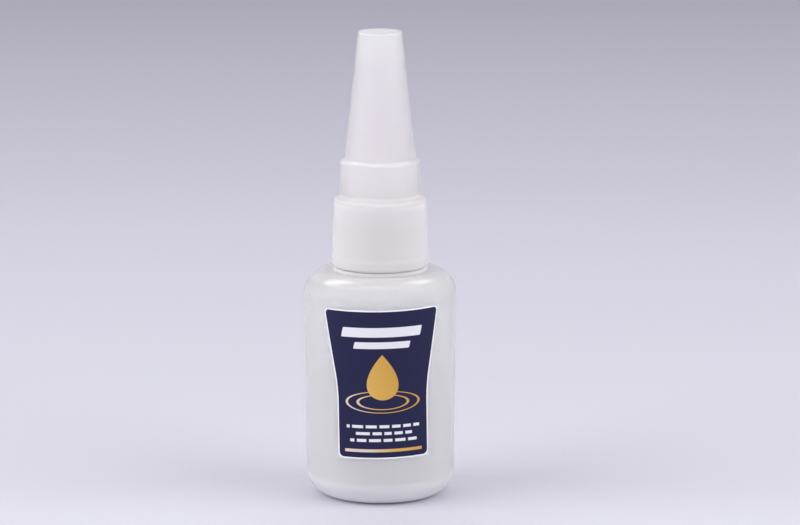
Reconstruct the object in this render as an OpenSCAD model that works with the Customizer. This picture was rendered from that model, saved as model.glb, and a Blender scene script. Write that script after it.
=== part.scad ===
// Upright squeeze bottle of instant glue: a round blow-moulded bottle, a dropper nozzle
// plugged into its neck, a tall stepped screw cap with a sealing pin, a front label and the glue.
// Millimetres. +Z is up, the origin is the centre of the base, and the label faces -Y.

/* [Bottle] */
// Diameter that the sides would reach at the height of the shoulder
body_d = 31.8; // [28:0.1:40]
// Height of the flat shoulder above the standing surface
shoulder_z = 47.4; // [46:0.1:70]
// Draft of the sides, in degrees, wider towards the shoulder
side_draft = 0.7; // [0:0.1:1.5]
// Radius between the sides and the base
base_edge_r = 5.2; // [4:0.1:8]
// Radius between the sides and the shoulder
shoulder_r = 5; // [2:0.1:5.5]
// Wall of the blown body
bottle_wall = 0.9; // [0.6:0.05:1.2]
// Width of the flat ring that the bottle stands on
foot_w = 2.4; // [1.5:0.1:4]
// Height of the hollow under the base
push_up = 1.5; // [0.8:0.1:2.5]

/* [Neck] */
// Diameter of the neck between its threads
neck_d = 15.5; // [14.5:0.1:17]
// Height of the neck above the shoulder
neck_h = 12.6; // [10.5:0.1:15]
// Diameter of the neck's bore
neck_bore_d = 12.4; // [11.5:0.1:13]
// Radius where the neck meets the shoulder
neck_root_r = 0.4; // [0.2:0.05:0.6]
// Bevel of the neck's rim
rim_bevel = 0.3; // [0.1:0.05:0.5]
// Depth kept free for the screw thread round the neck
thread_depth = 0.85; // [0.6:0.05:1.2]

/* [Nozzle] */
// Diameter of the flange that sits on the neck's rim
flange_d = 15.3; // [14.5:0.1:16.5]
// Thickness of the flange
flange_t = 1.4; // [1:0.1:2]
// Length of the plug inside the neck
plug_len = 7; // [5:0.1:9]
// Wall of the plug and of the foot of the cone
nozzle_wall = 1; // [0.7:0.05:1.3]
// Radius of the two sealing beads round the plug
plug_bead_r = 0.45; // [0.3:0.05:0.6]
// Diameter of the cone at the flange
nozzle_foot_d = 11; // [9:0.1:12]
// Radius where the cone meets the flange
nozzle_root_r = 1; // [0.5:0.1:1.3]
// Diameter of the cone at its tip
nozzle_tip_d = 4; // [3.2:0.1:5]
// Height of the tip above the flange
nozzle_h = 30.9; // [24:0.1:40]
// Diameter of the drop hole in the tip
tip_bore_d = 1.2; // [1.1:0.05:1.6]
// Length of the drop hole
tip_bore_len = 5; // [3.5:0.1:8]
// Rounding of the tip's outer edge
tip_edge_r = 0.4; // [0.2:0.05:0.6]

/* [Cap] */
// Height of the skirt's rim above the shoulder
skirt_lift = 0.9; // [0.3:0.05:1.5]
// Wall of the skirt at its top
skirt_wall = 0.7; // [0.6:0.05:1.2]
// How far the skirt widens down to its rim, in radius
skirt_flare = 0.55; // [0.3:0.05:0.8]
// Rounding of the skirt's rim
rim_r = 1; // [0.5:0.05:1.1]
// Height of the grip bead above the rim
grip_bead_z = 1.9; // [1.5:0.1:3]
// Radius of the grip bead's section
grip_bead_r = 0.5; // [0.3:0.05:0.7]
// How far the grip bead stands proud of the skirt
grip_bead_out = 0.08; // [0.05:0.01:0.25]
// Height of the rounded step between skirt and collar
skirt_step_h = 2.2; // [1.5:0.1:3]
// Thickness of the cap above its seat
seat_t = 2.4; // [2:0.1:3]
// Width of the seat on the nozzle's flange
seat_w = 0.65; // [0.4:0.05:0.9]
// Wall of the collar
collar_wall = 1.3; // [1:0.05:1.6]
// Height of the collar's upper edge above the seat
collar_h = 7.8; // [6:0.1:10]
// Width of the rounded step between collar and cone
cone_step_w = 0.9; // [0.5:0.05:1.1]
// Height of the rounded step between collar and cone
cone_step_h = 1.6; // [1:0.1:2]
// Wall of the cone
cone_wall = 1.2; // [0.9:0.05:1.4]
// Diameter of the cone's flat top
cap_top_d = 9.1; // [8.4:0.1:11]
// Rounding of the top's edge
top_edge_r = 0.35; // [0.1:0.05:0.6]
// Thickness of the top
crown_t = 1.1; // [0.8:0.1:2]
// Diameter of the boss that holds the pin
boss_d = 3; // [2.4:0.1:3.6]
// Length of the boss below the top
boss_len = 3.2; // [2:0.1:5]

/* [Sealing pin] */
// Diameter of the pin
pin_d = 1; // [0.7:0.05:1]
// Depth of the pin's hole in the boss
pin_seat = 2.8; // [1.5:0.1:4]
// How far the pin reaches into the drop hole
pin_reach = 3; // [1:0.1:3.3]
// Length of the pin's rounded point
pin_point = 0.4; // [0.2:0.05:0.5]

/* [Label] */
// Height of the label's lower edge
label_z = 10.6; // [9:0.1:14]
// Height of the label
label_h = 31.2; // [20:0.1:31.5]
// Width of the label's upper edge, measured round the bottle
label_top_w = 26; // [20:0.1:30]
// Width of the label below its waist, measured round the bottle
label_low_w = 19.6; // [14:0.1:19.9]
// Height of the waist above the lower edge
label_waist_h = 14.9; // [8:0.1:17]
// Radius of the label's corners
label_corner_r = 1.3; // [0.5:0.1:2]
// Radius that blends the label's sides at the waist
label_waist_r = 20; // [4:1:20]
// Thickness of the label
label_t = 0.12; // [0.08:0.01:0.2]
// Tilt of the label, in degrees, right side up
label_tilt = 1.1; // [0:0.1:3]
// Turn of the label round the bottle, in degrees
label_turn = 2; // [0:0.5:10]

/* [Glue] */
// Height of the glue's surface
fill_z = 28.8; // [12:0.1:40]

/* [Fits] */
// Clearance between the glue and the bottle's wall
glue_gap = 0.05; // [0.03:0.01:0.2]
// Thickness of the label's adhesive
adhesive_t = 0.03; // [0.03:0.01:0.1]
// Radial clearance of the plug's beads in the neck
bead_gap = 0.03; // [0.03:0.01:0.1]
// Radial clearance of the plug between its beads
plug_gap = 0.15; // [0.1:0.01:0.3]
// Radial clearance of the cap over the thread
thread_gap = 0.2; // [0.1:0.05:0.4]
// Radial clearance of the pin in the boss
pin_gap = 0.05; // [0.03:0.01:0.1]
// Gap between the boss and the nozzle's tip
tip_gap = 0.4; // [0.3:0.05:1]

/* [Hidden] */
$fn = 96;
// Steps of one quarter turn in a rounded outline
quarter_steps = 10;

// Heights up the closure
rim_z = shoulder_z + neck_h;
seat_z = rim_z + flange_t;
tip_z = seat_z + nozzle_h;
boss_z = tip_z + tip_gap;
crown_z = boss_z + boss_len;
cap_top_z = crown_z + crown_t;
skirt_z = shoulder_z + skirt_lift;
collar_z = seat_z + seat_t;
collar_top_z = seat_z + collar_h;
cone_z = collar_top_z + cone_step_h;
pin_top_z = boss_z + pin_seat;
pin_tip_z = tip_z - pin_reach;

// Radii that follow from what fits inside what
neck_r = neck_d / 2;
neck_bore_r = neck_bore_d / 2;
plug_r = neck_bore_r - plug_gap;
plug_bore_r = plug_r - nozzle_wall;
skirt_bore_r = neck_r + thread_depth + thread_gap;
skirt_top_r = skirt_bore_r + skirt_wall;
skirt_rim_r = skirt_top_r + skirt_flare;
collar_bore_r = flange_d / 2 - seat_w;
collar_r = collar_bore_r + collar_wall;
cone_r = collar_r - cone_step_w;
cap_top_r = cap_top_d / 2;

// Points along an arc, or along an ellipse when rz is given, between two angles
function arc(x, z, rx, a0, a1, rz = undef) =
    let (steps = max(2, ceil(quarter_steps * abs(a1 - a0) / 90)))
    [for (i = [0:steps])
        let (a = a0 + (a1 - a0) * i / steps)
        [x + rx * cos(a), z + (is_undef(rz) ? rx : rz) * sin(a)]];

// Points of a line list in the opposite order
function reversed(points) = [for (i = [len(points) - 1:-1:0]) points[i]];

// Radius of the outer side at a height
function side_r(z) = body_d / 2 - (shoulder_z - z) * tan(side_draft);

// Radius at which an arc of radius r, centred at height z, touches the side from inside
function touch_r(z, r) = side_r(z) - r / cos(side_draft);

// The hollow under the base is part of a large ball, and its inside is concentric with it
foot_out_r = touch_r(base_edge_r, base_edge_r);
foot_in_r = foot_out_r - foot_w;
dome_r = (pow(foot_in_r, 2) + pow(push_up, 2)) / (2 * push_up);
dome_z = push_up - dome_r;

// Outline of the body from the axis to the lower side, a distance t inside the outer face
function body_low(t) =
    concat(
        arc(0, dome_z, dome_r + t, 90, asin((t - dome_z) / (dome_r + t))),
        arc(foot_out_r, base_edge_r, base_edge_r - t, -90, -side_draft));

// Outline from the upper side to the flat of the shoulder, a distance t inside the outer face
function body_high(t) =
    arc(touch_r(shoulder_z - shoulder_r, shoulder_r), shoulder_z - shoulder_r,
        shoulder_r - t, -side_draft, 90);

// Blown shell with a base hollow, rounded shoulder and open neck
module bottle() {
    inner_root_z = shoulder_z - bottle_wall;
    outer = concat(
        body_low(0),
        body_high(0),
        arc(neck_r + neck_root_r, shoulder_z + neck_root_r, neck_root_r, -90, -180),
        [[neck_r, rim_z - rim_bevel], [neck_r - rim_bevel, rim_z]]);
    inner = concat(
        body_low(bottle_wall),
        body_high(bottle_wall),
        arc(neck_bore_r + neck_root_r, inner_root_z + neck_root_r, neck_root_r, -90, -180),
        [[neck_bore_r, rim_z]]);
    color([0.88, 0.88, 0.90, 0.6])
        rotate_extrude() polygon(concat(outer, reversed(inner)));
}

// Dropper plug: a flange on the neck's rim, a beaded plug in its bore and a hollow cone
module nozzle() {
    foot_r = nozzle_foot_d / 2;
    tip_r = nozzle_tip_d / 2;
    plug_z = rim_z - plug_len;
    root_r = min(nozzle_root_r, flange_d / 2 - foot_r);
    outer = concat(
        [[plug_r - rim_bevel, plug_z], [plug_r, plug_z + rim_bevel],
         [plug_r, rim_z], [flange_d / 2, rim_z], [flange_d / 2, seat_z]],
        arc(foot_r + root_r, seat_z + root_r, root_r, -90, -180),
        arc(tip_r - tip_edge_r, tip_z - tip_edge_r, tip_edge_r, 0, 90));
    inner = [
        [plug_bore_r, plug_z],
        [plug_bore_r, rim_z],
        [foot_r - nozzle_wall, seat_z + root_r],
        [tip_bore_d / 2, tip_z - tip_bore_len],
        [tip_bore_d / 2, tip_z]];
    color([0.93, 0.92, 0.93])
        rotate_extrude() {
            polygon(concat(outer, reversed(inner)));
            for (share = [1, 2])
                translate([neck_bore_r - bead_gap - plug_bead_r, plug_z + plug_len * share / 3])
                    circle(r = plug_bead_r);
        }
}

// One-piece screw cap: flared skirt, straight collar, long cone and a boss for the pin
module cap() {
    cone_bore_r = cone_r - cone_wall;
    step_z = cone_z - cone_wall;
    bead_z = skirt_z + grip_bead_z;
    skirt_corner_z = collar_z - skirt_step_h;
    bead_skirt_r = skirt_rim_r
        - skirt_flare * (grip_bead_z - rim_r) / (skirt_corner_z - skirt_z - rim_r);
    outer = concat(
        arc(skirt_rim_r - rim_r, skirt_z + rim_r, rim_r, -90, 0),
        arc(collar_r, skirt_corner_z, skirt_top_r - collar_r, 0, 90, skirt_step_h),
        arc(cone_r, collar_top_z, cone_step_w, 0, 90, cone_step_h),
        arc(cap_top_r - top_edge_r, cap_top_z - top_edge_r, top_edge_r, 0, 90),
        [[0, cap_top_z]]);
    inner = [
        [skirt_bore_r, skirt_z],
        [skirt_bore_r, seat_z],
        [collar_bore_r, seat_z],
        [collar_bore_r, step_z - (collar_bore_r - cone_bore_r)],
        [cone_bore_r, step_z],
        [cap_top_r - cone_wall, crown_z],
        [boss_d / 2, crown_z],
        [boss_d / 2, boss_z],
        [pin_d / 2 + pin_gap, boss_z],
        [pin_d / 2 + pin_gap, pin_top_z],
        [0, pin_top_z]];
    color([0.90, 0.89, 0.92, 0.8])
        rotate_extrude() {
            polygon(concat(outer, reversed(inner)));
            translate([bead_skirt_r + grip_bead_out - grip_bead_r, bead_z])
                circle(r = grip_bead_r);
        }
}

// Fine steel pin in the cap's boss, with a rounded point in the drop hole
module sealing_pin() {
    point = arc(0, pin_tip_z + pin_point, pin_d / 2, -90, 0, pin_point);
    color("silver")
        rotate_extrude() polygon(concat(point, [[pin_d / 2, pin_top_z], [0, pin_top_z]]));
}

// Corner of an outline rounded with radius r, seen from its neighbours before and after it
function round_corner(before, at, after, r) =
    let (
        u = (before - at) / norm(before - at),
        v = (after - at) / norm(after - at),
        half = acos(u * v) / 2,
        mid = (u + v) / norm(u + v),
        centre = at + mid * r / sin(half),
        start = at + u * r / tan(half) - centre,
        finish = at + v * r / tan(half) - centre,
        a0 = atan2(start.y, start.x),
        turn = atan2(finish.y, finish.x) - a0,
        sweep = turn > 180 ? turn - 360 : turn < -180 ? turn + 360 : turn)
    arc(centre.x, centre.y, r, a0, a0 + sweep);

// Width across the bottle of a length measured round it
function across(length) = let (r = body_d / 2) r * sin(length / r * 180 / PI);

// Front label: a film with a wide top and a waist, wrapped on the side of the bottle
module label() {
    low = across(label_low_w / 2);
    top = across(label_top_w / 2);
    corners = [
        [low, 0, label_corner_r],
        [low, label_waist_h, label_waist_r],
        [top, label_h, label_corner_r],
        [-top, label_h, label_corner_r],
        [-low, label_waist_h, label_waist_r],
        [-low, 0, label_corner_r]];
    count = len(corners);
    place = [for (c = corners) [c.x, c.y]];
    outline = [for (i = [0:count - 1])
        each round_corner(place[(i + count - 1) % count], place[i], place[(i + 1) % count], corners[i].z)];
    film_ends = [base_edge_r, shoulder_z - shoulder_r];
    face = adhesive_t + label_t;
    color([0.10, 0.11, 0.25])
        rotate(label_turn)
        intersection() {
            rotate_extrude() polygon([
                [side_r(film_ends[0]) + adhesive_t, film_ends[0]],
                [side_r(film_ends[0]) + face, film_ends[0]],
                [side_r(film_ends[1]) + face, film_ends[1]],
                [side_r(film_ends[1]) + adhesive_t, film_ends[1]]]);
            translate([0, 0, label_z + label_h / 2])
                rotate([90, 0, 0])
                rotate(label_tilt)
                linear_extrude(body_d)
                translate([0, -label_h / 2])
                polygon(outline);
        }
}

// The liquid, up to its level in the standing bottle
module glue() {
    inset = bottle_wall + glue_gap;
    surface = [[side_r(fill_z) - inset / cos(side_draft), fill_z], [0, fill_z]];
    color([0.86, 0.86, 0.88, 0.5])
        rotate_extrude() polygon(concat(body_low(inset), surface));
}

bottle();
nozzle();
cap();
sealing_pin();
label();
glue();
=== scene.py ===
# %% [markdown]
# # A glue bottle in milky plastic
# This lesson dresses a small squeeze bottle of instant glue. The solids of the part come first, as a
# fixed frame in metres with +Z up, and every piece made below is fitted to them. Their boxes give the
# main heights and radii, and the other sizes are written in millimetres.

# %% Load the frame
import math

import bmesh
import bpy
from mathutils import Matrix, Vector


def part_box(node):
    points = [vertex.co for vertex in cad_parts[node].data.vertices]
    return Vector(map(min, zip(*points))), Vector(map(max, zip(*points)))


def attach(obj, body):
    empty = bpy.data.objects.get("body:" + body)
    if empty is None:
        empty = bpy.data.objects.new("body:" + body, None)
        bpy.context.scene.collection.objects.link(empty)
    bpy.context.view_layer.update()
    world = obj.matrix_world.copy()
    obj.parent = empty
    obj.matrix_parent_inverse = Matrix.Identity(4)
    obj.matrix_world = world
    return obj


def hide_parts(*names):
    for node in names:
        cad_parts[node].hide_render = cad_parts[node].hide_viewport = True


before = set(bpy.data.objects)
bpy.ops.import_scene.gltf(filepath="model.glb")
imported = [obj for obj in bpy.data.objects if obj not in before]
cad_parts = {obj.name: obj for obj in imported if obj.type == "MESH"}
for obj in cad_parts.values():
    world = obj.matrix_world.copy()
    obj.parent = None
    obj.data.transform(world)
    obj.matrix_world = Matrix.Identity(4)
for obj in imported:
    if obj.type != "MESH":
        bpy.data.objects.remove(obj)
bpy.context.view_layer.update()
MM = 0.001
print("solids in the frame:", ", ".join(sorted(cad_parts)))

# %% [markdown]
# ## The camera
# The photograph looks a little down on the bottle through a long lens, so its sides stay nearly
# parallel. Such a view is easier to set from numbers than by dragging a camera: its distance, its
# height, how far it looks down and its focal length. The bottle stands a little left of the middle,
# and moving the camera sideways does that without turning the view.

# %% Set up the camera
IMAGE_WIDTH = 800
FOCAL_PIXELS = 4926
SENSOR_WIDTH = 36.0
CLIP_END = 20.0
camera_distance = 1000 * MM
camera_height = 249.3 * MM
camera_side = 4.1 * MM
camera_pitch = math.radians(11.345)

camera_data = bpy.data.cameras.new("portrait_camera")
camera_data.sensor_width = SENSOR_WIDTH
camera_data.lens = FOCAL_PIXELS / IMAGE_WIDTH * SENSOR_WIDTH
camera_data.clip_end = CLIP_END
camera = bpy.data.objects.new("portrait_camera", camera_data)
camera.location = (camera_side, -camera_distance, camera_height)
camera.rotation_euler = (math.pi / 2 - camera_pitch, 0, 0)
bpy.context.scene.collection.objects.link(camera)
bpy.context.scene.camera = camera
print("lens of", round(camera_data.lens, 1), "mm")

# %% [markdown]
# ## Helpers for nodes
# A material is a small network of nodes. A socket is set either to a plain value or to another node's
# output, which makes a link. One helper adds a node and fills its sockets so, one starts a material
# with a Principled surface, and one colours a surface along an axis, by a ramp between named tones.

# %% Node helpers
def add_node(tree, kind, inputs=(), **settings):
    """Adds a node, sets its properties, and fills its inputs with values or links."""
    node = tree.nodes.new(kind)
    for name, value in settings.items():
        setattr(node, name, value)
    for key, value in dict(inputs).items():
        if isinstance(value, bpy.types.NodeSocket):
            tree.links.new(value, node.inputs[key])
        else:
            node.inputs[key].default_value = value
    return node


def new_material(name):
    """An empty material with a Principled surface; returns the material, its tree and the surface."""
    material = bpy.data.materials.new(name)
    material.use_nodes = True
    tree = material.node_tree
    return material, tree, tree.nodes["Principled BSDF"]


def tone_along(axis, tree, surface, stops):
    """Colours a surface along an axis; stops are (place in millimetres, tone), from low to high."""
    coordinates = add_node(tree, "ShaderNodeTexCoord").outputs["Object"]
    place = add_node(tree, "ShaderNodeSeparateXYZ", {"Vector": coordinates}).outputs[axis]
    low, high = stops[0][0], stops[-1][0]
    share = add_node(tree, "ShaderNodeMapRange",
                     {"Value": place, "From Min": low * MM, "From Max": high * MM}).outputs[0]
    ramp = add_node(tree, "ShaderNodeValToRGB", {"Fac": share})
    tones = ramp.color_ramp.elements
    tones[0].color = (*stops[0][1], 1)
    tones[1].color = (*stops[-1][1], 1)
    for height, tone in stops[1:-1]:
        tones.new((height - low) / (high - low)).color = (*tone, 1)
    tree.links.new(ramp.outputs["Color"], surface.inputs["Base Color"])


print("node helpers: add_node, new_material, tone_along")

# %% [markdown]
# ## The floor
# The bottle stands on a seamless pale sheet that runs off behind it. One large plane is enough, because
# the camera looks down and never meets its far edge. In the photograph the sheet darkens with its
# depth as the light falls off. That falloff is painted into the sheet: lights could do it too, but a
# run of painted tones along Y is steadier and leaves the lights free to shape the bottle.

# %% Lay the floor
FLOOR_HALF = 6.0
# These tones along the sheet's depth are painted light: they fall off towards the back as the light would.
SHEET_NEAR = (0.627, 0.613, 0.681)
SHEET_FOOT = (0.592, 0.578, 0.644)
SHEET_MIDDLE = (0.560, 0.544, 0.618)
SHEET_FAR = (0.459, 0.442, 0.519)
SHEET_END = (0.400, 0.385, 0.455)
SHEET_ROUGHNESS = 0.75
sheet_painted_falloff = [(-60, SHEET_NEAR), (20, SHEET_FOOT), (230, SHEET_MIDDLE), (630, SHEET_FAR), (800, SHEET_END)]

floor_mesh = bpy.data.meshes.new("floor")
floor_shape = bmesh.new()
bmesh.ops.create_grid(floor_shape, x_segments=1, y_segments=1, size=FLOOR_HALF)
floor_shape.to_mesh(floor_mesh)
floor_shape.free()
floor = bpy.data.objects.new("floor", floor_mesh)
bpy.context.scene.collection.objects.link(floor)

pale_sheet, tree, surface = new_material("pale_sheet")
tone_along("Y", tree, surface, sheet_painted_falloff)
surface.inputs["Roughness"].default_value = SHEET_ROUGHNESS
floor_mesh.materials.append(pale_sheet)
print("floor of", 2 * FLOOR_HALF, "m with", len(sheet_painted_falloff), "tones along its depth")

# %% [markdown]
# ## The light
# The light is that of a small studio tent: a soft sky all round and a wide box on each side, a little
# in front, whose faint shadows fall to both sides of the foot. In gloss these boxes would show as broad
# patches, so reflections don't see them. The narrow bright lines on the shoulder and on the steps of
# the cap come from two tubes overhead and from a panel behind that only reflections see. Light scatters
# many times in milky plastic, so it is given many bounces.

# %% Set the light
SKY_COLOUR = (0.93, 0.94, 1.0, 1)
SKY_STRENGTH = 0.58
MANY_BOUNCES = 64
DIFFUSE_BOUNCES = 48
BODY_MIDDLE = (0, 0, 0.05)

world = bpy.data.worlds.new("studio_tent")
world.use_nodes = True
sky = world.node_tree.nodes["Background"]
sky.inputs["Color"].default_value = SKY_COLOUR
sky.inputs["Strength"].default_value = SKY_STRENGTH
bpy.context.scene.world = world


def soft_box(name, place, target, size, power, lights=True, mirrored=True):
    """A rectangular area light, in metres, facing a target; it lights, shows in gloss, or both."""
    light = bpy.data.lights.new(name, "AREA")
    light.shape = "RECTANGLE"
    light.size, light.size_y = size
    light.energy = power
    box = bpy.data.objects.new(name, light)
    box.location = place
    box.rotation_euler = (Vector(target) - Vector(place)).to_track_quat("-Z", "Y").to_euler()
    box.visible_diffuse = lights
    box.visible_transmission = lights
    box.visible_glossy = mirrored
    bpy.context.scene.collection.objects.link(box)
    print(name, "gives", power, "W")


soft_box("left_box", (-1.20, -0.48, 0.85), BODY_MIDDLE, (1.30, 1.30), 14.8, mirrored=False)
soft_box("right_box", (1.20, -0.55, 0.85), BODY_MIDDLE, (1.30, 1.30), 13.1, mirrored=False)
soft_box("top_tube", (0.10, 0, 0.70), (0.10, 0, 0), (1.30, 0.08), 0.84)
soft_box("back_tube", (-0.20, 0.42, 0.65), (-0.20, 0, 0.05), (1.10, 0.09), 0.40)
soft_box("back_panel", (-0.12, 0.40, 0.66), (-0.12, 0, 0.05), (1.10, 0.28), 3.9, lights=False)
bpy.context.scene.view_settings.view_transform = "Standard"
bpy.context.scene.cycles.max_bounces = MANY_BOUNCES
bpy.context.scene.cycles.diffuse_bounces = DIFFUSE_BOUNCES
bpy.context.scene.cycles.transmission_bounces = MANY_BOUNCES

# %% [markdown]
# ## Turned pieces
# Bottle, nozzle, cap, pin and glue are all round, so each is half an outline spun about the axis. The
# outline starts as a few corner points joined by edges. A vertex bevel rounds the corners, each by its
# own distance, and a spin of one full turn makes the skin. Merging doubles closes the seam and the
# poles before the normals are worked out again.

# %% Turned piece helpers
TURN_STEPS = 144
CORNER_STEPS = 10
SHARP_ANGLE = math.radians(40)
MERGE = 0.0005 * MM


def outline(corners, closed=False):
    """A bmesh with one outline in the XZ plane; corners are (radius, height, rounding) in millimetres."""
    shape = bmesh.new()
    points = [shape.verts.new((r * MM, 0, z * MM)) for r, z, _ in corners]
    for a, b in zip(points, points[1:]):
        shape.edges.new((a, b))
    if closed:
        shape.edges.new((points[-1], points[0]))
    for point, (_, _, rounding) in zip(points, corners):
        if rounding:
            bmesh.ops.bevel(shape, geom=[point], offset=rounding * MM, offset_type="OFFSET",
                            affect="VERTICES", segments=CORNER_STEPS, profile=0.5, material=-1)
    return shape


def turned(corners, closed=False):
    """The outline spun once round the Z axis, as a bmesh with its faces pointing out."""
    shape = outline(corners, closed)
    bmesh.ops.spin(shape, geom=shape.verts[:] + shape.edges[:], cent=(0, 0, 0), axis=(0, 0, 1),
                   angle=2 * math.pi, steps=TURN_STEPS, use_merge=True)
    bmesh.ops.remove_doubles(shape, verts=shape.verts, dist=MERGE)
    bmesh.ops.dissolve_degenerate(shape, edges=shape.edges, dist=MERGE)
    bmesh.ops.recalc_face_normals(shape, faces=shape.faces)
    return shape


def make_piece(shape, name, materials, body, node=None):
    """Turns a bmesh into a smooth piece that rides on a body and may stand for a solid."""
    for edge in shape.edges:
        edge.smooth = edge.calc_face_angle(0.0) < SHARP_ANGLE
    for face in shape.faces:
        face.smooth = True
    mesh = bpy.data.meshes.new(name)
    shape.to_mesh(mesh)
    shape.free()
    for material in materials:
        mesh.materials.append(material)
    piece = bpy.data.objects.new(name, mesh)
    bpy.context.scene.collection.objects.link(piece)
    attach(piece, body)
    if node:
        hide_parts(node)
    print(name, "has", len(mesh.polygons), "faces")


print("turned pieces have", TURN_STEPS, "steps a turn and", CORNER_STEPS, "a corner")

# %% [markdown]
# ## A moulded skin
# A mould leaves the same skin on every plastic here: satin, with a gloss that drifts from place to place
# and a very shallow unevenness. A node group draws it once from two noises, a broad wave and a fine
# grain, and each plastic then places the group with its own roughness.

# %% Moulded skin group
GRAIN_SHARE = 0.12
VECTOR = "NodeSocketVector"
FLOAT = "NodeSocketFloat"


def math_node(tree, operation, *values):
    """One Math node on up to three values or links; returns its output."""
    return add_node(tree, "ShaderNodeMath", enumerate(values), operation=operation).outputs[0]


def new_group(name, inputs, outputs):
    """A shader node group with named sockets; returns its tree, its inputs and its output node."""
    tree = bpy.data.node_groups.new(name, "ShaderNodeTree")
    for label, kind, value in inputs:
        socket = tree.interface.new_socket(label, in_out="INPUT", socket_type=kind)
        if value is not None:
            socket.default_value = value
    for label, kind in outputs:
        tree.interface.new_socket(label, in_out="OUTPUT", socket_type=kind)
    return tree, tree.nodes.new("NodeGroupInput").outputs, tree.nodes.new("NodeGroupOutput")


def place_group(tree, group, **inputs):
    """Places a node group in a material and fills its inputs."""
    filled = {key.replace("_", " "): value for key, value in inputs.items()}
    return add_node(tree, "ShaderNodeGroup", filled, node_tree=group).outputs


moulded_skin, given, result = new_group(
    "moulded_skin",
    [("Roughness", FLOAT, 0.35), ("Drift", FLOAT, 0.08), ("Wave size", FLOAT, 180.0),
     ("Grain size", FLOAT, 2500.0)],
    [("Roughness", FLOAT), ("Height", FLOAT)])
coordinates = add_node(moulded_skin, "ShaderNodeTexCoord").outputs["Object"]
wave = add_node(moulded_skin, "ShaderNodeTexNoise",
                {"Vector": coordinates, "Scale": given["Wave size"], "Detail": 2.0}).outputs["Fac"]
grain = add_node(moulded_skin, "ShaderNodeTexNoise",
                 {"Vector": coordinates, "Scale": given["Grain size"], "Detail": 2.0}).outputs["Fac"]
centred = math_node(moulded_skin, "SUBTRACT", wave, 0.5)
drifted = math_node(moulded_skin, "MULTIPLY_ADD", centred, given["Drift"], given["Roughness"])
moulded_skin.links.new(drifted, result.inputs["Roughness"])
height = math_node(moulded_skin, "MULTIPLY_ADD", grain, GRAIN_SHARE, wave)
moulded_skin.links.new(height, result.inputs["Height"])
print("moulded_skin has", len(moulded_skin.nodes), "nodes")

# %% [markdown]
# ## Milky plastic
# Natural polyethylene is neither clear nor white: light goes into the wall, scatters and comes out
# again nearby. Subsurface scattering does that, with a mean path of a few millimetres where the wall is
# seen through. A share of clear transmission lets some light straight in, and a thin smooth coat gives
# the narrow highlights that the satin skin alone would spread out.

# %% Milky plastic
PATH_BY_COLOUR = (1.0, 0.97, 0.95)
MILKY_IOR = 1.2
COAT_WEIGHT = 0.75
COAT_ROUGHNESS = 0.08
SATIN = 0.65


def milky_plastic(name, tone, path, roughness, unevenness, clearness=0.0):
    """Scattering plastic: path is its mean scattering length and unevenness its relief, in millimetres."""
    material, tree, surface = new_material(name)
    skin = place_group(tree, moulded_skin, Roughness=roughness)
    bump = add_node(tree, "ShaderNodeBump", {"Strength": 1.0, "Distance": unevenness * MM,
                                             "Height": skin["Height"]})
    tree.links.new(skin["Roughness"], surface.inputs["Roughness"])
    tree.links.new(bump.outputs["Normal"], surface.inputs["Normal"])
    surface.inputs["Base Color"].default_value = (*tone, 1)
    surface.inputs["Subsurface Weight"].default_value = 1.0
    surface.inputs["Subsurface Radius"].default_value = PATH_BY_COLOUR
    surface.inputs["Subsurface Scale"].default_value = path * MM
    surface.inputs["Transmission Weight"].default_value = clearness
    surface.inputs["IOR"].default_value = MILKY_IOR
    surface.inputs["Coat Weight"].default_value = COAT_WEIGHT
    surface.inputs["Coat Roughness"].default_value = COAT_ROUGHNESS
    return material, tree, surface


print("milky plastics have a coat of", COAT_WEIGHT, "over a skin of roughness", SATIN)

# %% [markdown]
# ## The bottle
# The bottle is blow-moulded: a tube of soft plastic is pinched in a two-part mould and blown against
# it. So its corners are generous, its wall is thin, its sides widen slightly towards the shoulder and
# its base is pushed up in the middle, which leaves a flat ring to stand on. A low bead round the neck
# sits right under the cap. Outer and inner skin are one outline that runs from axis to axis, so the
# wall has its real thickness for the light to scatter in.

# %% Draw the bottle
bottle_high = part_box("bottle")[1]
rim_z = bottle_high.z / MM
SIDE_DRAFT = math.tan(math.radians(0.7))
shoulder_z = 47.4
shoulder_round = 5.0
body_r = bottle_high.x / MM + shoulder_round * SIDE_DRAFT
base_round = 5.2
wall = 0.9
foot_width = 2.4
push_up = 1.5
neck_r = 7.75
neck_bore_r = 6.2
neck_bead_r = 9.75
neck_bead_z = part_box("cap")[0].z / MM - 0.12


def side_r(z):
    """Outer radius of the bottle's side at a height, in millimetres."""
    return body_r - (shoulder_z - z) * SIDE_DRAFT


foot_r = side_r(0) - base_round
hollow_r = foot_r - foot_width
dome_r = hollow_r * 0.55
dome_round = hollow_r * 0.5
bottle_corners = [
    (0, push_up, 0),
    (dome_r, push_up, dome_round),
    (hollow_r, 0, 0.5),
    (side_r(0), 0, base_round),
    (side_r(shoulder_z), shoulder_z, shoulder_round),
    (neck_bead_r, shoulder_z, 0.35),
    (neck_bead_r, neck_bead_z, 0.15),
    (neck_r, neck_bead_z, 0.2),
    (neck_r, rim_z, 0.3),
    (neck_bore_r, rim_z, 0.15),
    (neck_bore_r, shoulder_z - wall, 0.4),
    (side_r(shoulder_z) - wall, shoulder_z - wall, shoulder_round - wall),
    (side_r(0) - wall, wall, base_round - wall),
    (hollow_r, wall, 0.5),
    (dome_r, push_up + wall, dome_round),
    (0, push_up + wall, 0)]
print("bottle outline has", len(bottle_corners), "corners and a foot of radius", round(foot_r, 2), "mm")
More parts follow.
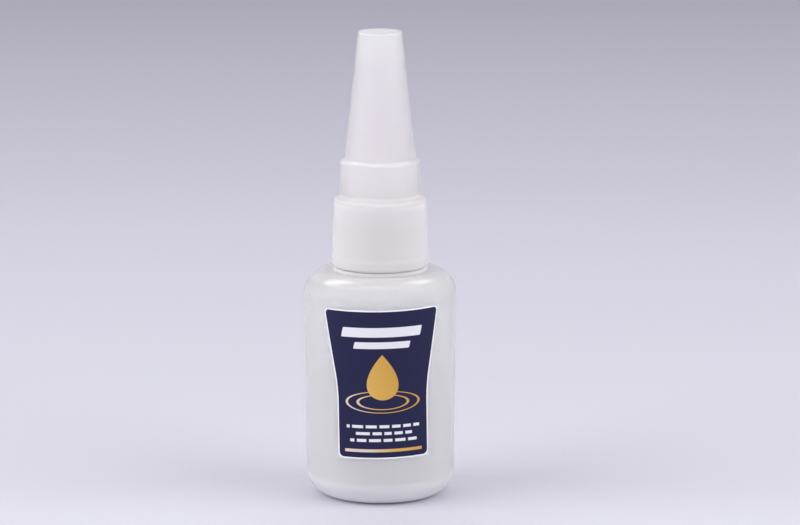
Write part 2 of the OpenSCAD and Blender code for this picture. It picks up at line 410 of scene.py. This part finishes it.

# %% [markdown]
# ## The bottle's plastic
# The blown wall is thin and clear in the middle of the bottle, and thick and cloudy at its two ends,
# where the plastic is stretched least. Clearness is one plain value in a material, so it changes in
# steps: each ring of faces takes the plastic that its height calls for. All steps share one run of
# tones, which is a little greyer up to the level of the glue. The rest of the run is painted light and
# shade: the base is painted lighter against its shade near the floor, the lower rounding and the flat of
# the shoulder are painted darker where the light falls most, and the bead is painted lighter against the
# shade under the cap's rim.

# %% Dress the bottle
# The base and bead tones below are painted light, and the upper and shoulder tones are painted shade.
BASE_PAINTED_LIGHT = (0.990, 0.985, 0.988)
BODY_TONE = (0.955, 0.945, 0.949)
FREE_TONE = (0.990, 0.981, 0.985)
UPPER_PAINTED_SHADE = (0.922, 0.911, 0.918)
SHOULDER_PAINTED_SHADE = (0.560, 0.532, 0.546)
BEAD_PAINTED_LIGHT = (0.960, 0.930, 0.942)
NECK_TONE = (0.800, 0.780, 0.792)
CLEARNESS = (0.5, 0.38, 0.25, 0.12, 0.0)
BASE_STEPS = (7.0, 4.4, 2.2, 0.9)
SHOULDER_STEPS = (45.9, 46.4, 46.8, 47.1)
BOTTLE_PATH = 2.5
BLOWN_UNEVENNESS = 0.02
fill_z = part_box("glue")[1].z / MM
shoulder_foot_z = shoulder_z - shoulder_round
bottle_tones_and_painted_light = [
    (0, BASE_PAINTED_LIGHT), (base_round + 2, BODY_TONE), (fill_z - 1.8, BODY_TONE), (fill_z + 2.2, FREE_TONE),
    (shoulder_foot_z - 3.4, FREE_TONE), (shoulder_foot_z + 1, UPPER_PAINTED_SHADE), (shoulder_z - 1.5, UPPER_PAINTED_SHADE),
    (shoulder_z - 0.2, SHOULDER_PAINTED_SHADE), (shoulder_z + 0.05, SHOULDER_PAINTED_SHADE),
    (shoulder_z + 0.25, BEAD_PAINTED_LIGHT), (neck_bead_z - 0.2, BEAD_PAINTED_LIGHT), (neck_bead_z, NECK_TONE)]
bottle_plastics = []
for step, clearness in enumerate(CLEARNESS):
    plastic, tree, surface = milky_plastic(f"bottle_plastic_{step}", BODY_TONE, BOTTLE_PATH, SATIN,
                                           BLOWN_UNEVENNESS, clearness)
    tone_along("Z", tree, surface, bottle_tones_and_painted_light)
    bottle_plastics.append(plastic)
bottle_shape = turned(bottle_corners)
for face in bottle_shape.faces:
    z = face.calc_center_median().z / MM
    low_step = sum(z < height for height in BASE_STEPS)
    high_step = sum(z > height for height in SHOULDER_STEPS)
    face.material_index = max(low_step, high_step)
make_piece(bottle_shape, "bottle_shell", bottle_plastics, "bottle", "bottle")

# %% [markdown]
# ## The screw thread
# A thread is a small section swept along a helix. The section is one face, pushed out again and again,
# turned and lifted a little each time. At both ends it fades into the wall, as a moulded thread does.
# The neck and the cap get the same pitch about half a turn out of step, so they mesh and never touch.
# The ridge is sunk a little into its wall and doesn't scatter, because light would be lost in the overlap.

# %% Thread helper and the neck's thread
PITCH = 3.0
THREAD_TURNS = 2.2
THREAD_DEPTH = 0.75
THREAD_FOOT = 0.75
THREAD_CREST = 0.3
THREAD_SUNK = 0.3
THREAD_STEPS = 144
FADE_STEPS = 28


def thread(root_r, crest_r, start_z):
    """A helical ridge between two radii that starts at a height, in millimetres."""
    shape = bmesh.new()
    section = [(root_r, -THREAD_FOOT), (crest_r, -THREAD_CREST),
               (crest_r, THREAD_CREST), (root_r, THREAD_FOOT)]
    row = [shape.verts.new((r * MM, 0, (start_z + z) * MM)) for r, z in section]
    face = shape.faces.new(row)
    steps = round(THREAD_TURNS * THREAD_STEPS)
    step_turn = Matrix.Rotation(2 * math.pi / THREAD_STEPS, 3, "Z")
    rows = [row]
    for _ in range(steps):
        grown = bmesh.ops.extrude_face_region(shape, geom=[face, *face.edges])["geom"]
        face = next(item for item in grown if isinstance(item, bmesh.types.BMFace))
        row = list(face.verts)
        bmesh.ops.rotate(shape, verts=row, cent=(0, 0, 0), matrix=step_turn)
        bmesh.ops.translate(shape, verts=row, vec=(0, 0, PITCH / THREAD_STEPS * MM))
        rows.append(row)
    for index, row in enumerate(rows):
        fade = min(1.0, index / FADE_STEPS, (steps - index) / FADE_STEPS)
        share = math.sin(fade * math.pi / 2)
        for point in row:
            radius = point.co.xy.length / MM
            point.co.xy *= (root_r + (radius - root_r) * share) / radius
    bmesh.ops.recalc_face_normals(shape, faces=shape.faces)
    return shape


thread_plastic, tree, surface = milky_plastic("thread_plastic", NECK_TONE, 0.2, 0.5, 0.002)
surface.inputs["Subsurface Weight"].default_value = 0.0
neck_thread_z = 51.6
make_piece(thread(neck_r - THREAD_SUNK, neck_r + THREAD_DEPTH, neck_thread_z), "neck_thread",
           [thread_plastic], "bottle")

# %% [markdown]
# ## The nozzle
# Under the cap a dropper nozzle is plugged into the neck: a flange on the rim, a plug with two sealing
# beads below it and a slender hollow cone above, which ends in a fine drop hole. It is a little darker
# and pinker than the bottle, and its tone shows faintly through the cap.

# %% Model the nozzle
NOZZLE_TONE = (0.86, 0.80, 0.835)
nozzle_low, nozzle_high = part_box("nozzle")
plug_z = nozzle_low.z / MM
tip_z = nozzle_high.z / MM
flange_r = nozzle_high.x / MM
flange_z = rim_z + 1.4
plug_r = neck_bore_r - 0.15
nozzle_wall = 1
bead_r = plug_r + 0.12
bead_heights = [plug_z + (rim_z - plug_z) * share / 3 for share in (1, 2)]
bead_corners = [corner for z in bead_heights for corner in
                ((plug_r, z - 0.4, 0.1), (bead_r, z, 0.3), (plug_r, z + 0.4, 0.1))]
nozzle_foot_r = 5.5
nozzle_tip_r = 2.0
drop_hole_r = 0.6
drop_hole_z = tip_z - 5
nozzle_corners = [
    (plug_r - 0.3, plug_z, 0.1), (plug_r, plug_z + 0.4, 0.1), *bead_corners,
    (plug_r, rim_z, 0), (flange_r, rim_z, 0.2), (flange_r, flange_z, 0.3),
    (nozzle_foot_r, flange_z, 0.8), (nozzle_tip_r, tip_z, 0.4), (drop_hole_r, tip_z, 0.12),
    (drop_hole_r, drop_hole_z, 0), (nozzle_foot_r - nozzle_wall, flange_z + nozzle_wall, 0),
    (plug_r - nozzle_wall, rim_z, 0), (plug_r - nozzle_wall, plug_z, 0.1)]
nozzle_plastic, tree, surface = milky_plastic("nozzle_plastic", NOZZLE_TONE, 1.0, 0.4, 0.01)
make_piece(turned(nozzle_corners, closed=True), "dropper_nozzle", [nozzle_plastic], "bottle",
           "nozzle")

# %% [markdown]
# ## The cap
# The cap is moulded in one piece: a flared skirt that screws over the neck, a straight collar and a
# long cone with a flat top. A low rib runs round the skirt near its rim. The steps are rounded, so that
# their edges can catch the tubes overhead and the panel behind as short bright lines. Inside, a ledge
# seats on the nozzle's flange and a boss under the top holds the sealing pin.

# %% Draw the cap
cap_low, cap_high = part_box("cap")
skirt_z = cap_low.z / MM
cap_top_z = cap_high.z / MM
skirt_bore_r = 8.8
skirt_top_r = 9.5
skirt_rim_r = 10.05
grip_z = skirt_z + 1.9
grip_r = cap_high.x / MM
grip_half = 0.7
collar_bore_r = 7.0
collar_r = 8.3
collar_z = flange_z + 2.4
ledge_z = collar_z - 1.35
collar_top_z = flange_z + 7.8
cone_r = 7.4
cone_z = collar_top_z + 1.6
cone_wall = 1.2
top_r = 4.55
crown_z = cap_top_z - 1.1
boss_r = 1.5
boss_z = tip_z + 0.4
pin_r = 0.5
pin_hole_r = pin_r + 0.05
pin_top_z = boss_z + 2.8
cap_corners = [
    (0, pin_top_z, 0), (pin_hole_r, pin_top_z, 0), (pin_hole_r, boss_z, 0.1), (boss_r, boss_z, 0.2),
    (boss_r, crown_z, 0.4), (top_r - cone_wall, crown_z, 0.5),
    (cone_r - cone_wall, cone_z - cone_wall, 0.3), (collar_bore_r, cone_z - 2.0, 0.3),
    (collar_bore_r, flange_z, 0.1), (skirt_bore_r, flange_z, 0.3),
    (skirt_bore_r, skirt_z, 0.1), (skirt_rim_r, skirt_z, 0.5),
    (skirt_rim_r - 0.04, grip_z - grip_half, 0.3), (grip_r, grip_z, 0.5),
    (skirt_rim_r - 0.13, grip_z + grip_half, 0.3),
    (skirt_top_r, ledge_z, 0.4), (collar_r, ledge_z + 0.35, 0.75),
    (collar_r, cone_z - 0.5, 0.35), (cone_r, cone_z, 0.15),
    (top_r, cap_top_z, 0.3), (0, cap_top_z, 0)]
print("cap outline has", len(cap_corners), "corners over", round(cap_top_z - skirt_z, 1), "mm")

# %% [markdown]
# ## The cap's plastic
# The cone is hollow and lets the light through, while the skirt lies close round the neck and looks
# denser. So the cap has two plastics that differ in clearness and meet at the foot of the collar, where
# their tones are the same. The collar is painted lighter against the shade of the nozzle's flange inside
# it, and the top of the skirt against the shade under the collar's step. The ledge above the skirt faces
# the light, and a painted shade, a darker tone, keeps its form.

# %% Dress the cap
# The collar and skirt-top tones below are painted light, and the ledge tone is painted shade.
CONE_TONE = (0.945, 0.915, 0.935)
COLLAR_PAINTED_LIGHT = (0.985, 0.960, 0.970)
CROWN_TONE = (0.970, 0.962, 0.970)
SKIRT_TONE = (0.888, 0.836, 0.834)
SKIRT_TOP_PAINTED_LIGHT = (0.932, 0.895, 0.900)
LEDGE_PAINTED_SHADE = (0.740, 0.710, 0.716)
CAP_PATH = 2.2
CAP_UNEVENNESS = 0.012
CAP_CLEARNESS = 0.55
SKIRT_CLEARNESS = 0.2
cap_plastic, tree, surface = milky_plastic("cap_plastic", CONE_TONE, CAP_PATH, SATIN, CAP_UNEVENNESS,
                                           CAP_CLEARNESS)
tone_along("Z", tree, surface, [
    (collar_z, COLLAR_PAINTED_LIGHT), (collar_top_z, COLLAR_PAINTED_LIGHT), (cone_z + 3, CONE_TONE),
    (boss_z - 2.5, CONE_TONE), (boss_z + 0.5, CROWN_TONE)])
skirt_plastic, tree, surface = milky_plastic("skirt_plastic", SKIRT_TONE, CAP_PATH, SATIN, CAP_UNEVENNESS,
                                             SKIRT_CLEARNESS)
tone_along("Z", tree, surface, [
    (skirt_z, SKIRT_TONE), (ledge_z - 6, SKIRT_TONE), (ledge_z - 1, SKIRT_TOP_PAINTED_LIGHT),
    (ledge_z - 0.2, LEDGE_PAINTED_SHADE), (ledge_z + 0.3, LEDGE_PAINTED_SHADE), (collar_z, COLLAR_PAINTED_LIGHT)])
cap_shape = turned(cap_corners)
for face in cap_shape.faces:
    face.material_index = int(face.calc_center_median().z < collar_z * MM)
make_piece(cap_shape, "screw_cap", [cap_plastic, skirt_plastic], "cap", "cap")
cap_thread_z = 50.2
make_piece(thread(skirt_bore_r + THREAD_SUNK, skirt_bore_r - THREAD_DEPTH, cap_thread_z), "cap_thread",
           [thread_plastic], "cap")

# %% [markdown]
# ## The sealing pin
# A short steel wire keeps the drop hole open while the cap is on. It is drawn wire, so its shine is
# stretched along its length; a fine noise, squeezed along Z, makes the draw lines.

# %% Model the sealing pin
STEEL_TONE = (0.62, 0.62, 0.63, 1)
pin_low, pin_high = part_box("sealing_pin")
pin_foot_z = pin_low.z / MM
pin_head_z = pin_high.z / MM
pin_steel, tree, surface = new_material("pin_steel")
coordinates = add_node(tree, "ShaderNodeTexCoord").outputs["Object"]
stretched = add_node(tree, "ShaderNodeMapping", {"Vector": coordinates, "Scale": (1, 1, 0.05)}).outputs[0]
lines = add_node(tree, "ShaderNodeTexNoise", {"Vector": stretched, "Scale": 9000.0}).outputs["Fac"]
shine = add_node(tree, "ShaderNodeMapRange", {"Value": lines, "To Min": 0.2, "To Max": 0.4}).outputs[0]
tree.links.new(shine, surface.inputs["Roughness"])
surface.inputs["Base Color"].default_value = STEEL_TONE
surface.inputs["Metallic"].default_value = 1.0
pin_corners = [(0, pin_foot_z, 0), (pin_r, pin_foot_z, 0.35), (pin_r, pin_head_z, 0.05), (0, pin_head_z, 0)]
make_piece(turned(pin_corners), "sealing_wire", [pin_steel], "pin", "sealing_pin")

# %% [markdown]
# ## The glue
# The liquid is clear and thin. It climbs the wall a little, so its surface has a rim, and it is seen
# only through the milky wall, as a greyer tone below a soft line. A faint haze keeps it from looking
# like an empty space.

# %% Model the glue
GLUE_TINTS = ((0.92, 0.92, 0.925, 1), (0.95, 0.95, 0.955, 1))
GLUE_PATH = 6
glue_inset = wall + 0.05


def mixed(tree, factor, first, second):
    """The colour that lies between two colours or links by a factor."""
    return add_node(tree, "ShaderNodeMix", {"Factor": factor, "A": first, "B": second},
                    data_type="RGBA").outputs["Result"]


glue_liquid, tree, surface = new_material("glue_liquid")
coordinates = add_node(tree, "ShaderNodeTexCoord").outputs["Object"]
haze = add_node(tree, "ShaderNodeTexNoise",
                {"Vector": coordinates, "Scale": 120.0, "Detail": 2.0}).outputs["Fac"]
tree.links.new(mixed(tree, haze, *GLUE_TINTS), surface.inputs["Base Color"])
surface.inputs["Roughness"].default_value = 0.05
surface.inputs["IOR"].default_value = 1.45
surface.inputs["Subsurface Weight"].default_value = 1.0
surface.inputs["Subsurface Scale"].default_value = GLUE_PATH * MM
surface.inputs["Subsurface Radius"].default_value = (1, 1, 1)
surface.inputs["Transmission Weight"].default_value = 0.5
glue_r = side_r(fill_z) - glue_inset
glue_corners = [
    (0, push_up + glue_inset, 0),
    (dome_r, push_up + glue_inset, dome_round),
    (hollow_r, glue_inset, 0.5),
    (side_r(0) - glue_inset, glue_inset, base_round - glue_inset),
    (glue_r, fill_z, 0.1),
    (glue_r - 0.6, fill_z - 0.45, 0.4),
    (0, fill_z - 0.5, 0)]
make_piece(turned(glue_corners), "glue_fill", [glue_liquid], "bottle", "glue")

# %% [markdown]
# ## The label
# The label is a film with a wide top and a waist, printed dark blue with a thin white edge. It is cut
# flat first: six corner points make a face, a vertex bevel rounds its corners and an inset makes the
# edge. Cuts across it then give it enough rows and columns to bend, and solidify gives it thickness.

# %% Cut the label flat
LABEL_HEIGHT = 31.2
LABEL_TOP_HALF = 13.0
LABEL_LOW_HALF = 9.8
LABEL_WAIST = 14.9
LABEL_CORNER = 1.3
LABEL_BLEND = 3.0
LABEL_EDGE = 0.28
LABEL_FILM = 0.12
LABEL_CORNER_STEPS = 8
COLUMN_STEP = 0.6
ROW_STEP = 2.0
label_corners = [
    (LABEL_LOW_HALF, 0, LABEL_CORNER),
    (LABEL_LOW_HALF, LABEL_WAIST, LABEL_BLEND),
    (LABEL_TOP_HALF, LABEL_HEIGHT, LABEL_CORNER),
    (-LABEL_TOP_HALF, LABEL_HEIGHT, LABEL_CORNER),
    (-LABEL_LOW_HALF, LABEL_WAIST, LABEL_BLEND),
    (-LABEL_LOW_HALF, 0, LABEL_CORNER)]
label_shape = bmesh.new()
points = [label_shape.verts.new((x * MM, 0, z * MM)) for x, z, _ in label_corners]
label_shape.faces.new(points)
for point, (_, _, rounding) in zip(points, label_corners):
    bmesh.ops.bevel(label_shape, geom=[point], offset=rounding * MM, offset_type="OFFSET",
                    affect="VERTICES", segments=LABEL_CORNER_STEPS, profile=0.5, material=-1)
bmesh.ops.recalc_face_normals(label_shape, faces=label_shape.faces)
if label_shape.faces[:][0].normal.y > 0:
    bmesh.ops.reverse_faces(label_shape, faces=label_shape.faces)
border = bmesh.ops.inset_region(label_shape, faces=label_shape.faces[:], thickness=LABEL_EDGE * MM,
                                use_boundary=True, use_even_offset=True)
for face in border["faces"]:
    face.material_index = 1


def slice_label(place, direction):
    """Cuts the flat label along a plane at a place, square to a direction."""
    everything = label_shape.verts[:] + label_shape.edges[:] + label_shape.faces[:]
    bmesh.ops.bisect_plane(label_shape, geom=everything, dist=MERGE * 0.1,
                           plane_co=place, plane_no=direction)


for column in range(1, math.ceil(2 * LABEL_TOP_HALF / COLUMN_STEP)):
    slice_label(((column * COLUMN_STEP - LABEL_TOP_HALF) * MM, 0, 0), (1, 0, 0))
for row in range(1, math.ceil(LABEL_HEIGHT / ROW_STEP)):
    slice_label((0, 0, row * ROW_STEP * MM), (0, 0, 1))
bmesh.ops.solidify(label_shape, geom=label_shape.faces[:], thickness=LABEL_FILM * MM)
print("flat label has", len(label_shape.faces), "faces")

# %% [markdown]
# Every point of the flat film is now wrapped round the bottle's side. It keeps its flat place in an
# attribute, so that the print can follow the film. The label sits slightly tilted and turned, as in
# the photograph.

# %% Wrap the label round the bottle
LABEL_LOW_Z = 10.6
LABEL_TILT = math.radians(1.1)
LABEL_TURN = math.radians(2.0)
ADHESIVE = 0.03
label_middle = LABEL_HEIGHT / 2
flat_place = label_shape.verts.layers.float_vector.new("print_place")
for point in label_shape.verts:
    point[flat_place] = (point.co.x / MM, point.co.z / MM, 0)
    depth = point.co.y
    flat_x = point.co.x
    flat_z = point.co.z - label_middle * MM
    across = flat_x * math.cos(LABEL_TILT) - flat_z * math.sin(LABEL_TILT)
    up = flat_x * math.sin(LABEL_TILT) + flat_z * math.cos(LABEL_TILT)
    z = up / MM + LABEL_LOW_Z + label_middle
    radius = (side_r(z) + ADHESIVE + LABEL_FILM) * MM - depth
    angle = across / (side_r(z) * MM) + LABEL_TURN
    point.co = (radius * math.sin(angle), -radius * math.cos(angle), z * MM)
bmesh.ops.recalc_face_normals(label_shape, faces=label_shape.faces)
label_angle = 2 * LABEL_TOP_HALF / side_r(LABEL_LOW_Z + LABEL_HEIGHT)
print("label covers", round(math.degrees(label_angle)), "degrees at its top")

# %% [markdown]
# ## Shapes to print with
# The print is drawn by the material itself, from the flat place of each point in millimetres. Four
# small groups each draw one kind of shape as a mask. Each works out how far a place lies outside the
# shape, and turns that distance into a mask with a soft edge. The first is a slanted bar with round
# corners.

# %% Print group for bars
EDGE_BLUR = 0.04


def vector_node(tree, operation, *values):
    """One Vector Math node on up to two values or links; returns the node's outputs."""
    return add_node(tree, "ShaderNodeVectorMath", enumerate(values), operation=operation).outputs


def inside(tree, distance):
    """A soft mask that is 1 where a signed distance in millimetres is below zero."""
    return add_node(tree, "ShaderNodeMapRange",
                    {"Value": distance, "From Min": EDGE_BLUR, "From Max": -EDGE_BLUR},
                    interpolation_type="SMOOTHSTEP").outputs[0]


print_bar, given, result = new_group(
    "print_bar", [("Place", VECTOR, None), ("Centre", VECTOR, None), ("Half size", VECTOR, None),
                  ("Slant", FLOAT, 0.0), ("Round", FLOAT, 0.2)], [("Mask", FLOAT)])
offset = vector_node(print_bar, "SUBTRACT", given["Place"], given["Centre"])[0]
parts = add_node(print_bar, "ShaderNodeSeparateXYZ", {"Vector": offset}).outputs
lean = math_node(print_bar, "MULTIPLY", parts["Y"], given["Slant"])
straight = math_node(print_bar, "SUBTRACT", parts["X"], lean)
upright = add_node(print_bar, "ShaderNodeCombineXYZ", {"X": straight, "Y": parts["Y"]}).outputs[0]
corner = vector_node(print_bar, "SUBTRACT", given["Half size"], given["Round"])[0]
beyond = vector_node(print_bar, "SUBTRACT", vector_node(print_bar, "ABSOLUTE", upright)[0], corner)[0]
beyond = vector_node(print_bar, "MULTIPLY", beyond, (1, 1, 0))[0]
beyond = vector_node(print_bar, "MAXIMUM", beyond, (0, 0, 0))[0]
outside = vector_node(print_bar, "LENGTH", beyond)["Value"]
away = math_node(print_bar, "SUBTRACT", outside, given["Round"])
print_bar.links.new(inside(print_bar, away), result.inputs["Mask"])
print("print_bar has", len(print_bar.nodes), "nodes")

# %% [markdown]
# The drop hangs from its tip. Its width grows with the way down and closes in a round end: t times the
# root of 1 - t does both, and a factor brings the widest place to one.

# %% Print group for the drop
DROP_FACTOR = 2.6
DROP_TRIM = 0.05
print_drop, given, result = new_group(
    "print_drop", [("Place", VECTOR, None), ("Tip", VECTOR, None), ("Half width", FLOAT, 3.0),
                   ("Length", FLOAT, 9.0)], [("Mask", FLOAT)])
offset = vector_node(print_drop, "SUBTRACT", given["Place"], given["Tip"])[0]
parts = add_node(print_drop, "ShaderNodeSeparateXYZ", {"Vector": offset}).outputs
down = math_node(print_drop, "DIVIDE", math_node(print_drop, "MULTIPLY", parts["Y"], -1.0), given["Length"])
down = add_node(print_drop, "ShaderNodeClamp", {"Value": down}).outputs[0]
round_end = math_node(print_drop, "SQRT", math_node(print_drop, "SUBTRACT", 1.0, down))
width = math_node(print_drop, "MULTIPLY", math_node(print_drop, "MULTIPLY", down, round_end), DROP_FACTOR)
width = math_node(print_drop, "MULTIPLY", width, given["Half width"])
away = math_node(print_drop, "SUBTRACT", math_node(print_drop, "ABSOLUTE", parts["X"]), width)
away = math_node(print_drop, "ADD", away, DROP_TRIM)
print_drop.links.new(inside(print_drop, away), result.inputs["Mask"])
print("print_drop has", len(print_drop.nodes), "nodes")

# %% [markdown]
# A ripple is a ring seen at an angle, so heights are stretched by its flatness before its radius is
# compared.

# %% Print group for ripples
print_ring, given, result = new_group(
    "print_ring", [("Place", VECTOR, None), ("Centre", VECTOR, None), ("Radius", FLOAT, 5.0),
                   ("Flatness", FLOAT, 0.3), ("Width", FLOAT, 0.4)], [("Mask", FLOAT)])
offset = vector_node(print_ring, "SUBTRACT", given["Place"], given["Centre"])[0]
parts = add_node(print_ring, "ShaderNodeSeparateXYZ", {"Vector": offset}).outputs
opened = math_node(print_ring, "DIVIDE", parts["Y"], given["Flatness"])
spread = add_node(print_ring, "ShaderNodeCombineXYZ", {"X": parts["X"], "Y": opened}).outputs[0]
from_centre = vector_node(print_ring, "LENGTH", spread)["Value"]
reach = math_node(print_ring, "SUBTRACT", from_centre, given["Radius"])
away = math_node(print_ring, "SUBTRACT", math_node(print_ring, "ABSOLUTE", reach), given["Width"])
print_ring.links.new(inside(print_ring, away), result.inputs["Mask"])
print("print_ring has", len(print_ring.nodes), "nodes")

# %% [markdown]
# Lines of short strokes stand for fine print at its real scale. The height picks the line, a noise by
# line makes the ends ragged, and the edges of one-dimensional cells leave the gaps between strokes.

# %% Print group for strokes
RAGGED = 0.3
LINE_SHIFT = 7.3
STROKES_PER_MM = 0.42
STROKE_GAP = 0.12
print_strokes, given, result = new_group(
    "print_strokes", [("Place", VECTOR, None), ("Low", FLOAT, 3.0), ("Lines", FLOAT, 3.0),
                      ("Pitch", FLOAT, 1.4), ("Height", FLOAT, 0.6), ("Half width", FLOAT, 7.0)],
    [("Mask", FLOAT)])


def stroke_math(operation, *values):
    """One Math node in the group of strokes; returns its output."""
    return math_node(print_strokes, operation, *values)


parts = add_node(print_strokes, "ShaderNodeSeparateXYZ", {"Vector": given["Place"]}).outputs
climb = stroke_math("DIVIDE", stroke_math("SUBTRACT", parts["Y"], given["Low"]), given["Pitch"])
line = stroke_math("FLOOR", climb)
middle = stroke_math("ABSOLUTE", stroke_math("SUBTRACT", stroke_math("FRACT", climb), 0.5))
half_height = stroke_math("MULTIPLY", given["Height"], 0.5)
thick = stroke_math("SUBTRACT", stroke_math("MULTIPLY", middle, given["Pitch"]), half_height)
chance = add_node(print_strokes, "ShaderNodeTexWhiteNoise", {"W": line},
                  noise_dimensions="1D").outputs["Value"]
line_share = stroke_math("MULTIPLY_ADD", chance, RAGGED, 1 - RAGGED)
ragged = stroke_math("MULTIPLY", given["Half width"], line_share)
long = stroke_math("SUBTRACT", stroke_math("ABSOLUTE", parts["X"]), ragged)
run = stroke_math("MULTIPLY_ADD", line, LINE_SHIFT, stroke_math("MULTIPLY", parts["X"], STROKES_PER_MM))
cell_edge = add_node(print_strokes, "ShaderNodeTexVoronoi", {"W": run, "Scale": 1.0},
                     voronoi_dimensions="1D", feature="DISTANCE_TO_EDGE").outputs["Distance"]
gap = stroke_math("SUBTRACT", STROKE_GAP, cell_edge)
within = stroke_math("MULTIPLY", stroke_math("GREATER_THAN", climb, 0.0),
                     stroke_math("LESS_THAN", climb, given["Lines"]))
worst = stroke_math("MAXIMUM", stroke_math("MAXIMUM", thick, long), gap)
mask = stroke_math("MULTIPLY", within, inside(print_strokes, worst))
print_strokes.links.new(mask, result.inputs["Mask"])
print("print_strokes has", len(print_strokes.nodes), "nodes")

# %% [markdown]
# ## The print
# Two white bars stand for a heading, a gold drop falls into gold ripples, and fine strokes and a gold
# strip close the label. Every shape is a mask, and the masks of one ink are joined by their maximum.

# %% Lay out the print
SLANT = 0.25
label_print, tree, surface = new_material("label_print")
place = add_node(tree, "ShaderNodeAttribute", attribute_name="print_place").outputs["Vector"]
heading = place_group(tree, print_bar, Place=place, Centre=(0, 26.6, 0), Half_size=(8.4, 1.0, 0),
                      Slant=SLANT)
second = place_group(tree, print_bar, Place=place, Centre=(0, 23.9, 0), Half_size=(5.8, 0.7, 0),
                     Slant=SLANT)
strokes = place_group(tree, print_strokes, Place=place, Low=3.2, Lines=3.0, Pitch=1.45, Height=0.62,
                      Half_width=8.0)
drop = place_group(tree, print_drop, Place=place, Tip=(0, 22.0, 0), Half_width=3.3, Length=9.6)
near_ring = place_group(tree, print_ring, Place=place, Centre=(0, 12.0, 0), Radius=5.2, Width=0.30)
far_ring = place_group(tree, print_ring, Place=place, Centre=(0, 12.0, 0), Radius=7.6, Width=0.26)
strip = place_group(tree, print_bar, Place=place, Centre=(0, 1.75, 0), Half_size=(8.2, 0.32, 0), Round=0.1)


def joined(tree, *shapes):
    """One mask that holds all of several shapes."""
    mask = shapes[0]["Mask"]
    for other in shapes[1:]:
        mask = math_node(tree, "MAXIMUM", mask, other["Mask"])
    return mask


gold_mask = joined(tree, drop, near_ring, far_ring, strip)
white_mask = joined(tree, heading, second, strokes)
print("label print has", len(tree.nodes), "nodes so far")

# %% [markdown]
# The gold runs from cream to deep yellow across the drop, as foil does under soft light. The inks are
# mixed one over the other on the blue film, whose tone and gloss drift a little.

# %% Ink the label
BLUE_TINTS = ((0.010, 0.012, 0.050, 1), (0.014, 0.016, 0.062, 1))
GOLD_CREAM = (0.76, 0.62, 0.52, 1)
GOLD_MIDDLE = (0.70, 0.42, 0.10, 1)
GOLD_DEEP = (0.60, 0.33, 0.06, 1)
WHITE_INK = (0.80, 0.80, 0.84, 1)
parts = add_node(tree, "ShaderNodeSeparateXYZ", {"Vector": place}).outputs
slope = math_node(tree, "MULTIPLY_ADD", parts["Y"], 0.35, parts["X"])
sweep = add_node(tree, "ShaderNodeMapRange", {"Value": slope, "From Min": -3.0, "From Max": 9.5}).outputs[0]
gold = add_node(tree, "ShaderNodeValToRGB", {"Fac": sweep})
gold.color_ramp.elements[0].color = GOLD_CREAM
gold.color_ramp.elements[1].color = GOLD_DEEP
gold.color_ramp.elements.new(0.45).color = GOLD_MIDDLE
film_noise = add_node(tree, "ShaderNodeTexNoise",
                      {"Vector": place, "Scale": 1.3, "Detail": 3.0}).outputs["Fac"]
blue = mixed(tree, film_noise, *BLUE_TINTS)
inked = mixed(tree, gold_mask, blue, gold.outputs["Color"])
inked = mixed(tree, white_mask, inked, WHITE_INK)
tree.links.new(inked, surface.inputs["Base Color"])
gloss = add_node(tree, "ShaderNodeMapRange",
                 {"Value": film_noise, "To Min": 0.36, "To Max": 0.46}).outputs[0]
tree.links.new(gloss, surface.inputs["Roughness"])
surface.inputs["Specular IOR Level"].default_value = 0.25
print("label print has", len(tree.nodes), "nodes in all")

# %% [markdown]
# The thin white edge is the bare film round the print, with a fine unevenness of its own. With it the
# label is whole and can go on the bottle.

# %% Finish the label
EDGE_TINTS = ((0.94, 0.94, 0.97, 1), (0.97, 0.97, 0.99, 1))
label_border, tree, surface = new_material("label_border")
coordinates = add_node(tree, "ShaderNodeTexCoord").outputs["Object"]
edge_noise = add_node(tree, "ShaderNodeTexNoise", {"Vector": coordinates, "Scale": 2500.0}).outputs["Fac"]
tree.links.new(mixed(tree, edge_noise, *EDGE_TINTS), surface.inputs["Base Color"])
surface.inputs["Roughness"].default_value = 0.4
make_piece(label_shape, "front_label", [label_print, label_border], "bottle", "label")
